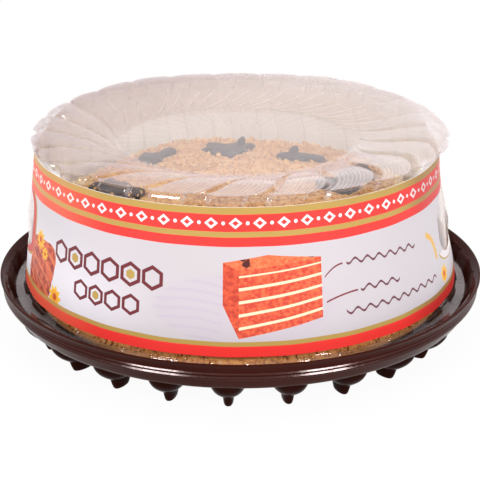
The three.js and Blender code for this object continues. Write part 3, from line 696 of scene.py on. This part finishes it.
def build_dome(material):
    # flange and wall, up to just under the band's top
    keys = [  # r, z, inset, drop, block, lobe, petal, rib, haze
        (117.4, 22.35, 0, 0, 1, 0, 0, 0, 0), (116.2, 22.35, 0, 0, 1, 0, 0, 0, 0), (114.2, 22.4, 0.1, 0, 1, 0, 0, 0, 0), (112.9, 23.0, 0.6, 0, 1, 0, 0, 0, 0),
        (112.0, 24.6, 1.2, 0, 1, 0, 0, 0, 0), (111.5, 26.8, 1.5, 0, 1, 0, 0, 0, 0), (wall_radius(45), 45, 1.6, 0, 1, 0, 0, 0, 0),
        (wall_radius(70), 70, 1.6, 0, 1, 0, 0, 0, 0), (wall_radius(94.0), 94.0, 1.6, 0, 1, 0, 0, 0, 0),
    ]
    rows = spline(keys, [1, 2, 3, 3, 3, 3, 2, 2])
    closed_sheet("dome_wall", rows, LOBES * 36, material, ["dome_flange", "dome_wall_1", "dome_wall_2", "dome_wall_3", "dome_wall_4"])
    # neck, shoulder, swirl and disc
    keys = [
        (wall_radius(94.05), 94.05, 1.6, 0, 1, 0, 0, 0, 0), (102.5, 95.4, 1.7, 0, 1, 0, 0, 0, 0), (103.35, 96.5, 1.8, 0, 1, 0, 0, 0, 0),
        (103.75, 97.15, 1.9, 0, 1, 0, 0, 0, 0), (103.68, 97.6, 1.9, 0, 1, 0, 0, 0, 0), (103.47, 98.1, 1.9, 0, 1, 0, 0, 0, 0), (103.26, 98.6, 1.9, 0, 1, 0, 0, 0, 0), (103.35, 99.05, 2.0, 0, 1, 0, 0, 0, 0),
        (104.6, 99.8, 2.3, 0, 0.9, 0.1, 0, 0, 0), (105.25, 100.6, 2.5, 0.1, 0.7, 0.3, 0, 0, 0.1), (105.0, 101.3, 2.5, 0.3, 0.5, 0.5, 0, 0, 0.3),
        (104.0, 102.4, 2.5, 0.7, 0.15, 0.7, 0.15, 0.05, 0.37), (102.3, 103.9, 2.3, 1.4, 0, 0.6, 0.4, 0.09, 0.38), (100.3, 105.2, 1.9, 2.1, 0, 0.4, 0.6, 0.1, 0.4),
        (97.9, 106.1, 1.5, 2.7, 0, 0.1, 0.9, 0.1, 0.4), (94.0, 105.9, 0.8, 2.9, 0, 0, 1, 0.1, 0.38), (86.0, 104.2, 0, 3.0, 0, 0, 1, 0.1, 0.34),
        (79.0, 102.0, 0, 2.5, 0, 0, 1, 0.08, 0.3), (72.0, 99.5, 0, 1.9, 0, 0, 1, 0.05, 0.25), (66.0, 97.2, 0, 1.1, 0, 0, 1, 0.03, 0.24),
        (62.0, 95.75, 0, 0.4, 0, 0, 1, 0.01, 0.24), (60.0, 95.1, 0, 0, 0, 0, 1, 0, 0.1), (57.5, 94.95, 0, 0, 0, 0, 0, 0, 0), (56.0, 94.95, 0, 0, 0, 0, 0, 0, 0), (30.0, 94.95, 0, 0, 0, 0, 0, 0, 0),
    ]
    rows = spline(keys, [1, 1, 1, 1, 1, 1, 1, 2, 2, 2, 2, 2, 2, 2, 2, 2, 2, 2, 2, 2, 1, 1, 1, 1])
    rows[:, 8] = np.clip(rows[:, 8], 0, 1)
    closed_sheet("dome_top", rows, LOBES * 54, material,
                 ["dome_shoulder", "dome_swirl_1", "dome_swirl_2", "dome_swirl_3", "dome_swirl_4", "dome_disc"], centre_z=94.95)


# ------------------------------------------------------------------- paper band
def build_band(print_material, back_material):
    middle = sum(WINDOW_Z) / 2
    half = (WINDOW_Z[1] - WINDOW_Z[0]) / 2
    columns = []                     # azimuth, lower and upper edge of the opening
    for window in WINDOW_AZIMUTHS:
        for k in range(97):
            tau = math.pi * k / 96
            c, s = -math.cos(tau), math.sin(tau)
            azimuth = window + WINDOW_HALF_DEG * math.copysign(abs(c) ** 0.5, c)
            reach = half * abs(s) ** 0.5 if 0 < k < 96 else 0.0
            far = -c if window < 200 else 0.0      # the left opening gets lower towards the back
            columns.append((azimuth, middle - reach, middle + reach * (1 - 0.62 * float(ease(0.1, 0.75, far)))))
        start, end = window + WINDOW_HALF_DEG, window + 180.0 - WINDOW_HALF_DEG
        plain = 112
        for k in range(1, plain):
            columns.append((start + (end - start) * k / plain, middle, middle))
    columns = np.array(columns)
    n, rows = len(columns), 13
    a = np.radians(columns[:, 0])
    share = np.linspace(0, 1, rows)

    stand = band_back(columns[:, 0])
    away = np.abs((columns[:, 0] - 90.0 + 180.0) % 360.0 - 180.0)

    def sheet(offset, low, high):
        grid = []
        for s in share:
            z = low + (high - low) * s
            bend = 0.12 * np.cos(24 * (a - math.radians(LOBE_PHASE))) * -1
            up = np.clip((z - BAND_MIDDLE_Z) / (BAND_TOP[1] - BAND_MIDDLE_Z), 0, 1)
            low_part = np.clip((z - BAND_BOTTOM[1]) / (BAND_MIDDLE_Z - BAND_BOTTOM[1]), 0, 1)
            out = 1 - (1 - stand) ** 2
            r = band_radius(z) + out * (0.25 * low_part + up * (BAND_BACK[0] - BAND_TOP[0] - 0.25)) + offset + bend * (1 - stand * up) - 0.12
            z = z + stand * up * (BAND_BACK[1] - BAND_TOP[1] + 0.7 * (1 - ease(15.0, 45.0, away)))
            grid.append(np.stack([lean(r * np.cos(a), z), r * np.sin(a), z], -1))
        return np.concatenate(grid)

    low, high = np.full(n, BAND_BOTTOM[1]), np.full(n, BAND_TOP[1])
    parts = [sheet(0.0, low, columns[:, 1]), sheet(0.0, columns[:, 2], high), sheet(-BAND_PAPER + 0.05, low, columns[:, 1]), sheet(-BAND_PAPER + 0.05, columns[:, 2], high)]
    size = rows * n
    quads = [grid_quads(rows, n), grid_quads(rows, n, offset=size),
             grid_quads(rows, n, offset=2 * size)[:, ::-1], grid_quads(rows, n, offset=3 * size)[:, ::-1]]
    index = [np.zeros(len(quads[0])), np.zeros(len(quads[1])), np.ones(len(quads[2])), np.ones(len(quads[3]))]
    j = np.arange(n)
    j2 = (j + 1) % n
    last = (rows - 1) * n
    rims = [np.stack([j2, j, 2 * size + j, 2 * size + j2], -1),                                                  # foot
            np.stack([size + last + j, size + last + j2, 3 * size + last + j2, 3 * size + last + j], -1)]       # top
    opened = (columns[j, 1] < middle) | (columns[j2, 1] < middle)
    o, o2 = j[opened], j2[opened]
    rims.append(np.stack([last + o, last + o2, 2 * size + last + o2, 2 * size + last + o], -1))                  # under the opening
    rims.append(np.stack([size + o2, size + o, 3 * size + o, 3 * size + o2], -1))                                # over it
    for rim in rims:
        quads.append(rim)
        index.append(np.ones(len(rim)))
    mesh = make_mesh("band_raw", np.concatenate(parts), quads=np.concatenate(quads), material_index=np.concatenate(index))
    bm = bmesh.new()
    bm.from_mesh(mesh)
    bmesh.ops.remove_doubles(bm, verts=bm.verts, dist=1e-6)
    bmesh.ops.dissolve_degenerate(bm, edges=bm.edges, dist=1e-7)
    bm.to_mesh(mesh)
    bm.free()
    mesh.set_sharp_from_angle(angle=math.radians(45))
    mesh.name = "band"
    add_piece("band", mesh, [print_material, back_material], ["paper_band"])


# ------------------------------------------------------------------------- cake
CAKE_KEYS = [(0.0, 79.0), (15.0, 78.9), (30.0, 78.4), (50.0, 77.2), (66.0, 75.2), (78.0, 71.8), (88.0, 66.5), (95.0, 59.0), (99.0, 48.0), (101.6, 31.0), (104.3, 23.0), (106.6, 18.3)]
cake_curve = spline(CAKE_KEYS, 8)


def lumps(x, y):
    return 0.45 * np.sin(x / 17 + 0.6) * np.cos(y / 21 - 0.4) + 0.3 * np.sin((x + y) / 29 + 1.7)


def sag(x, y):
    """The edge of the top sinks a little at the back left."""
    r, azimuth = np.hypot(x, y), np.degrees(np.arctan2(y, x))
    return -3.0 * np.exp(-((azimuth - 150.0) / 15.0) ** 2) * ease(56.0, 74.0, r) * (1 - ease(88.0, 98.0, r))


def cake_height(x, y):
    r = np.hypot(x, y)
    return np.interp(r, cake_curve[:, 0], cake_curve[:, 1]) + lumps(x, y) + sag(x, y)


def relief(points):
    """Unevenness of the crumb coat in millimetres, grains and hollows."""
    coarse = noise(points, 9.0, 3) * 0.45 + noise(points, 4.2, 5) * 0.35
    grain = noise(points, 2.1, 7) * 0.34 + noise(points, 1.3, 11) * 0.22
    return coarse + grain


def build_cake(material, crumb_material, loose_material):
    # the coat: a fine grid from the middle of the top down to the foot
    lengths = np.concatenate([[0], np.cumsum(np.hypot(*np.diff(cake_curve, axis=0).T))])
    steps = np.linspace(0.6, lengths[-1], 132)
    r = np.interp(steps, lengths, cake_curve[:, 0])
    z = np.interp(steps, lengths, cake_curve[:, 1])
    tr, tz = np.gradient(r), np.gradient(z)
    ln = np.hypot(tr, tz)
    nr, nz = -tz / ln, tr / ln
    columns = 540
    a = np.arange(columns) / columns * 2 * np.pi
    x, y = r[:, None] * np.cos(a), r[:, None] * np.sin(a)
    top = (1 - ease(92.0, 100.0, r))[:, None]
    zz = z[:, None] + lumps(x, y) * (0.4 + 0.6 * top) + sag(x, y)
    base = np.stack([x, y, zz], -1).reshape(-1, 3)
    normal = np.stack([nr[:, None] * np.cos(a), nr[:, None] * np.sin(a), nz[:, None] + 0 * a], -1).reshape(-1, 3)
    side = (0.5 * np.sin(3 * a)[None, :] * ease(88.0, 99.0, r)[:, None]).reshape(-1)
    fade = np.repeat(1 - ease(lengths[-1] - 3.0, lengths[-1], steps), columns)
    points = base + normal * ((relief(base) * (0.25 + 0.75 * fade) + side - 0.35)[:, None])
    points[:, 2] = np.maximum(points[:, 2], 17.95)
    rows = len(steps)
    quads = grid_quads(rows, columns)
    j = np.arange(columns)
    j2 = (j + 1) % columns
    e = (rows - 1) * columns
    caps = np.array([[0, 0, points[:columns, 2].mean()], [0, 0, 17.95]])
    tris = np.concatenate([np.stack([j, j2, np.full(columns, rows * columns)], -1), np.stack([e + j2, e + j, np.full(columns, rows * columns + 1)], -1)])
    mesh = make_mesh("cake_coat", np.concatenate([points, caps]), quads=quads[:, ::-1], tris=tris)
    add_piece("cake_coat", mesh, [material], ["cake"])

    # loose crumbs: small uneven lumps half sunk in the coat
    phi = (1 + 5 ** 0.5) / 2
    ico = np.array([(-1, phi, 0), (1, phi, 0), (-1, -phi, 0), (1, -phi, 0), (0, -1, phi), (0, 1, phi), (0, -1, -phi), (0, 1, -phi), (phi, 0, -1), (phi, 0, 1), (-phi, 0, -1), (-phi, 0, 1)], float)
    ico /= np.linalg.norm(ico[0])
    ico_faces = np.array([(0, 11, 5), (0, 5, 1), (0, 1, 7), (0, 7, 10), (0, 10, 11), (1, 5, 9), (5, 11, 4), (11, 10, 2), (10, 7, 6), (7, 1, 8), (3, 9, 4), (3, 4, 2), (3, 2, 6), (3, 6, 8), (3, 8, 9), (4, 9, 5), (2, 4, 11), (6, 2, 10), (8, 6, 7), (9, 8, 1)])

    def scatter(name, count, low, high, lift, look):
        # places spread evenly over the coat's area
        area = r * ln / ln.mean()
        chance = np.cumsum(area) / area.sum()
        row = np.searchsorted(chance, rng.random(count)).clip(1, rows - 4)
        angle = rng.random(count) * 2 * np.pi
        column = (angle / (2 * np.pi) * columns).astype(int) % columns
        at = points[row * columns + column] + rng.normal(0, 0.35, (count, 3))
        out = normal[row * columns + column]
        keep = ~in_patches(at[:, 0], at[:, 1], 0.5) | (at[:, 2] < 55)
        at, out = at[keep], out[keep]
        # crumbs that stick to the rim of the front left patch lie on the chocolate
        near = np.flatnonzero((np.hypot(at[:, 0] + 60, at[:, 1] + 24) < 28) & (at[:, 2] > 55))
        away = np.maximum(signed_distance(OUTLINES["choc_front_left"], at[near, 0], at[near, 1]), 0)
        at[near, 2] += 2.5 * np.sqrt(1 - (1 - np.clip(away / 2.0, 0, 1)) ** 2)
        m = len(at)
        size = low + (high - low) * rng.random(m) ** 2.2
        shape = ico[None] * (1 + rng.uniform(-0.28, 0.28, (m, 12, 1))) * rng.uniform(0.6, 1.15, (m, 1, 3))
        q = rng.normal(size=(m, 4))
        q /= np.linalg.norm(q, axis=1, keepdims=True)
        w, i, jj, k = q.T
        turn = np.stack([1 - 2 * (jj * jj + k * k), 2 * (i * jj - k * w), 2 * (i * k + jj * w),
                         2 * (i * jj + k * w), 1 - 2 * (i * i + k * k), 2 * (jj * k - i * w),
                         2 * (i * k - jj * w), 2 * (jj * k + i * w), 1 - 2 * (i * i + jj * jj)], -1).reshape(m, 3, 3)
        shape = np.einsum("mab,mvb->mva", turn, shape) * size[:, None, None]
        where = at[:, None] + shape + out[:, None] * (size * lift)[:, None, None]
        where[..., 2] = np.maximum(where[..., 2], 17.9)
        where = np.minimum(np.hypot(where[..., 0], where[..., 1]), 108.0)[..., None] * (where * [1, 1, 0]) / np.maximum(np.hypot(where[..., 0], where[..., 1]), 1e-6)[..., None] + where * [0, 0, 1]
        faces = (np.arange(m)[:, None, None] * 12 + ico_faces[None]).reshape(-1, 3)
        mesh = make_mesh(name, where.reshape(-1, 3), tris=faces, sharp_deg=38)
        add_piece(name, mesh, [look])

    scatter("crumbs_coarse", 5200, 0.75, 1.9, 0.25, crumb_material)
    scatter("crumbs_fine", 9200, 0.35, 0.85, 0.3, loose_material)


# --------------------------------------------------------- chocolate patches
PATCHES = {
    "choc_back_left": [[-55, 24], [-51.5, 34.5], [-48.2, 29], [-44.3, 29], [-42.7, 34], [-38, 38], [-34.8, 34], [-36.5, 27.5], [-40.5, 23], [-42.5, 17], [-46, 13.5], [-51, 17.5]],
    "choc_back_centre": [[-21.5, 33], [-18.6, 36], [-18.2, 44.5], [-12.2, 44.5], [-7.8, 42], [-2, 47], [3, 44], [8, 42], [8, 37], [4.4, 35], [4.1, 29.6], [0.8, 24], [-4.4, 19], [-10.8, 23.5], [-14.5, 22.5], [-16, 29]],
    "choc_back_right": [[18.4, 21.5], [22.2, 24.2], [28, 25.1], [35, 24.2], [42.3, 21.8], [44.8, 18.2], [40.5, 15.2], [31, 14.8], [24, 16.8], [19.9, 19]],
    "choc_right": [[61, 13], [66, 18], [69, 6], [69, -3], [64, -12], [57, -13], [49, -9], [50, -2], [55, 4]],
    "choc_front_right": [[48, -14], [55, -15], [61, -17], [58, -26], [53, -32], [45, -30], [38, -27], [38, -18]],
    "choc_front_left": [[-75, -10], [-70, -12], [-66, -9], [-61, -16], [-57, -17], [-52, -25], [-48, -26], [-47, -33], [-52, -40], [-57, -36], [-62, -37], [-69, -29], [-76, -19]],
}
TIPS = {"choc_back_centre": ((0.4, 41.0), 1.9, 3.9), "choc_back_right": ((28.2, 23.5), 2.3, 3.6)}


def patch_outline(keys, rough=1.0):
    """A smooth closed outline, evenly stepped, with small runs and nicks."""
    curve = spline(keys, 12, closed=True)
    step = np.hypot(*(np.roll(curve, -1, 0) - curve).T)
    length = np.concatenate([[0], np.cumsum(step)])
    n = int(length[-1] / 0.7)
    s = np.arange(n) / n * length[-1]
    loop = np.vstack([curve, curve[:1]])
    line = np.stack([np.interp(s, length, loop[:, 0]), np.interp(s, length, loop[:, 1])], -1)
    tangent = np.roll(line, -1, 0) - np.roll(line, 1, 0)
    tangent /= np.linalg.norm(tangent, axis=1, keepdims=True)
    normal = np.stack([tangent[:, 1], -tangent[:, 0]], -1)
    wobble = noise(np.column_stack([line, np.zeros(n)]), 3.6, 17) * 0.7 + noise(np.column_stack([line, np.zeros(n)]), 1.7, 19) * 0.25
    return line + normal * (wobble * rough)[:, None]


def signed_distance(line, x, y):
    """Distance to the outline, positive inside."""
    a, b = line, np.roll(line, -1, 0)
    d = b - a
    px, py = x[:, None] - a[:, 0], y[:, None] - a[:, 1]
    t = np.clip((px * d[:, 0] + py * d[:, 1]) / (d * d).sum(1), 0, 1)
    away = np.hypot(px - d[:, 0] * t, py - d[:, 1] * t).min(1)
    cross = ((a[:, 1] > y[:, None]) != (b[:, 1] > y[:, None])) & (x[:, None] < d[:, 0] * (y[:, None] - a[:, 1]) / np.where(d[:, 1] == 0, 1e-9, d[:, 1]) + a[:, 0])
    return np.where(cross.sum(1) % 2 == 1, away, -away)


OUTLINES = {name: patch_outline(np.array(keys, float), 1.7 if name == "choc_front_left" else 1.0) for name, keys in PATCHES.items()}


def in_patches(x, y, margin):
    found = np.zeros(len(x), bool)
    for name, line in OUTLINES.items():
        near = (x > line[:, 0].min() - 2) & (x < line[:, 0].max() + 2) & (y > line[:, 1].min() - 2) & (y < line[:, 1].max() + 2)
        if near.any():
            found[near] |= signed_distance(line, x[near], y[near]) > margin + (3.2 if name == "choc_front_left" else 0.0)
    return found


def build_chocolate(material):
    for name, line in OUTLINES.items():
        step = 1.0
        gx, gy = np.meshgrid(np.arange(line[:, 0].min(), line[:, 0].max(), step), np.arange(line[:, 1].min(), line[:, 1].max(), step))
        gx, gy = gx.ravel(), gy.ravel()
        gx = gx + rng.uniform(-0.2, 0.2, len(gx))
        gy = gy + rng.uniform(-0.2, 0.2, len(gy))
        keep = signed_distance(line, gx, gy) > 1.5
        inner = [np.stack([gx[keep], gy[keep]], -1)]
        tangent = np.roll(line, -1, 0) - np.roll(line, 1, 0)
        tangent /= np.linalg.norm(tangent, axis=1, keepdims=True)
        normal = np.stack([tangent[:, 1], -tangent[:, 0]], -1)
        if signed_distance(line, *(line + normal * 0.05).T).mean() < 0:
            normal = -normal
        for offset in (0.22, 0.6, 1.1):
            ring = line + normal * offset
            good = signed_distance(line, ring[:, 0], ring[:, 1]) > offset * 0.85
            inner.append(ring[good])
        cloud = np.concatenate([line, *inner])
        n = len(line)
        edges = [(i, (i + 1) % n) for i in range(n)]
        verts, _, faces, *_ = delaunay_2d_cdt([Vector(p) for p in cloud], edges, [], 1, 1e-4)
        flat = np.array([tuple(v) for v in verts])
        away = np.maximum(signed_distance(line, flat[:, 0], flat[:, 1]), 0)
        away[away < 0.02] = 0
        ground = cake_height(flat[:, 0], flat[:, 1])
        thick = 2.5 * np.sqrt(1 - (1 - np.clip(away / 2.0, 0, 1)) ** 2)
        wavy = noise(np.column_stack([flat, np.zeros(len(flat))]), 7.0, 23) * 0.7 + noise(np.column_stack([flat, np.zeros(len(flat))]), 3.0, 29) * 0.3
        top = ground + 0.2 + thick * (1 + 0.25 * wavy)
        under = ground - 0.9 * np.clip(away / 0.6, 0, 1) + 0.2
        m = len(flat)
        points = np.concatenate([np.column_stack([flat, top]), np.column_stack([flat, under])])
        tri = np.array([f for f in faces if len(f) == 3])
        p = points[tri]
        up = np.cross(p[:, 1] - p[:, 0], p[:, 2] - p[:, 0])[:, 2]
        tri = np.where(up[:, None] > 0, tri, tri[:, ::-1])
        low = tri[:, ::-1] + m
        # the outline's own points are shared by both faces
        share = np.arange(2 * m)
        share[m:][away == 0] = np.arange(m)[away == 0]
        low = share[low]
        tris = [tri, low]
        allp = [points]
        count = 2 * m
        if name in TIPS:
            (tx, ty), radius, height = TIPS[name]
            foot = float(cake_height(np.array([tx], float), np.array([ty], float))[0]) + 1.2
            sides, levels = 20, 12
            ring = []
            for i in range(levels):
                t = i / levels
                rad = radius * (0.82 + 0.22 * math.sin(math.pi * min(1.0, t * 1.15))) * math.sqrt(max(0.0, 1 - max(0.0, (t - 0.5) / 0.5) ** 2))
                ang = np.arange(sides) / sides * 2 * np.pi
                ring.append(np.stack([tx + 0.9 * t * t + rad * np.cos(ang) * 1.1, ty + rad * np.sin(ang) * 0.8, foot + (height + 1.6) * t + 0 * ang], -1))
            blob = np.concatenate([*ring, [[tx, ty, foot], [tx + 0.9, ty, foot + (height + 1.6) * 0.985]]])
            q = grid_quads(levels, sides, offset=count)
            tris.append(np.concatenate([q[:, [0, 1, 2]], q[:, [0, 2, 3]]]))
            j = np.arange(sides)
            j2 = (j + 1) % sides
            e = count + (levels - 1) * sides
            tris.append(np.stack([count + j2, count + j, np.full(sides, count + levels * sides)], -1))
            tris.append(np.stack([e + j, e + j2, np.full(sides, count + levels * sides + 1)], -1))
            allp.append(blob)
        points = np.concatenate(allp)
        tris = np.concatenate(tris)
        used = np.zeros(len(points), bool)
        used[tris.ravel()] = True
        renumber = np.cumsum(used) - 1
        mesh = make_mesh(name + "_patch", points[used], tris=renumber[tris], sharp_deg=75)
        add_piece(name + "_patch", mesh, [material], [name])


# --------------------------------------------------------------------- assembly
# painted shade: the tray's inside and the feet get darker base colours
build_tray(tray_look("tray_plastic", 0.04), tray_look("tray_bead", 0.7), tray_look("tray_inside", 0.22, 0.95, 0.42))
build_feet(tray_look("tray_feet", 0.01, 0.7))
build_dome(clear_look())
build_band(print_look(), paper_back_look())
build_cake(crumb_look("crumb_coat"), crumb_look("crumbs_coarse", 0.12), crumb_look("crumbs_fine", 0.04))
build_chocolate(chocolate_look())

# ------------------------------------------------------------------ floor, light
floor_mesh = make_mesh("floor", [(-6000, -6000, 0), (6000, -6000, 0), (6000, 6000, 0), (-6000, 6000, 0)], quads=[(0, 1, 2, 3)])
floor = bpy.data.objects.new("floor", floor_mesh)
bpy.context.scene.collection.objects.link(floor)
floor_look = Look("floor_look", Roughness=0.9)
floor_look.shader.inputs["Base Color"].default_value = (0.045, 0.045, 0.045, 1)
floor_look.shader.inputs["Specular IOR Level"].default_value = 0.0
floor_look.shader.inputs["Emission Color"].default_value = (1, 1, 1, 1)
floor_look.shader.inputs["Emission Strength"].default_value = 0.952
floor_mesh.materials.append(floor_look.material)

world = bpy.data.worlds.new("studio")
bpy.context.scene.world = world
world.use_nodes = True
tree = world.node_tree
tree.nodes.clear()
sky = tree.nodes.new("ShaderNodeBackground")
end = tree.nodes.new("ShaderNodeOutputWorld")
tree.links.new(sky.outputs[0], end.inputs[0])
where = tree.nodes.new("ShaderNodeTexCoord")
split = tree.nodes.new("ShaderNodeSeparateXYZ")
tree.links.new(where.outputs["Generated"], split.inputs[0])
side_x, side_y, height = (Val(tree, split.outputs[i]) for i in range(3))
# white backdrop behind, a bright ceiling, a dimmer room at the sides
up = height.high(0.0)
level = side_y.high(0.0) * up.flip() * 1.26 + up * up * 1.62 + side_y.abs().flip() * up.flip() * 0.45
tree.links.new((level * (side_x * 0.1 + 1.0)).socket, sky.inputs["Strength"])
sky.inputs["Color"].default_value = (1.0, 0.985, 1.0, 1)


def softbox(name, azimuth, elevation, distance, width, height, power, target=(0, 0, 0.06)):
    data = bpy.data.lights.new(name, "AREA")
    data.shape, data.size, data.size_y, data.energy = "RECTANGLE", width, height, power
    data.color = (1.0, 0.985, 0.98)
    light = bpy.data.objects.new(name, data)
    a, e = math.radians(azimuth), math.radians(elevation)
    place = Vector((math.cos(a) * math.cos(e), math.sin(a) * math.cos(e), math.sin(e))) * distance
    light.location = place
    light.rotation_euler = (Vector(target) - place).to_track_quat("-Z", "Y").to_euler()
    bpy.context.scene.collection.objects.link(light)
    return light


softbox("softbox_left", 232.0, 26.0, 1.5, 0.5, 0.22, 9.0)
softbox("softbox_right", 308.0, 26.0, 1.5, 0.45, 0.22, 9.9)

# ---------------------------------------------------------------------- camera
camera_data = bpy.data.cameras.new("camera")
camera = bpy.data.objects.new("camera", camera_data)
bpy.context.scene.collection.objects.link(camera)
camera_data.sensor_width = 36.0
camera_data.lens = 1212.52 / 480.0 * 36.0
camera_data.clip_start, camera_data.clip_end = 0.01, 100.0
camera.location = (-0.0002, -0.594693, 0.270730)
camera.rotation_euler = (math.radians(90.0 - math.degrees(0.3704)), 0.0, 0.0)
bpy.context.scene.camera = camera

scene = bpy.context.scene
scene.view_settings.view_transform = "Standard"
scene.view_settings.look = "None"
scene.view_settings.exposure = 0.0
scene.view_settings.gamma = 1.0
scene.cycles.use_denoising = True
scene.cycles.max_bounces = 10
scene.cycles.diffuse_bounces = 4
scene.cycles.glossy_bounces = 4
scene.cycles.transmission_bounces = 4
scene.cycles.transparent_max_bounces = 20
scene.cycles.caustics_reflective = False
scene.cycles.caustics_refractive = False
scene.cycles.sample_clamp_indirect = 6.0
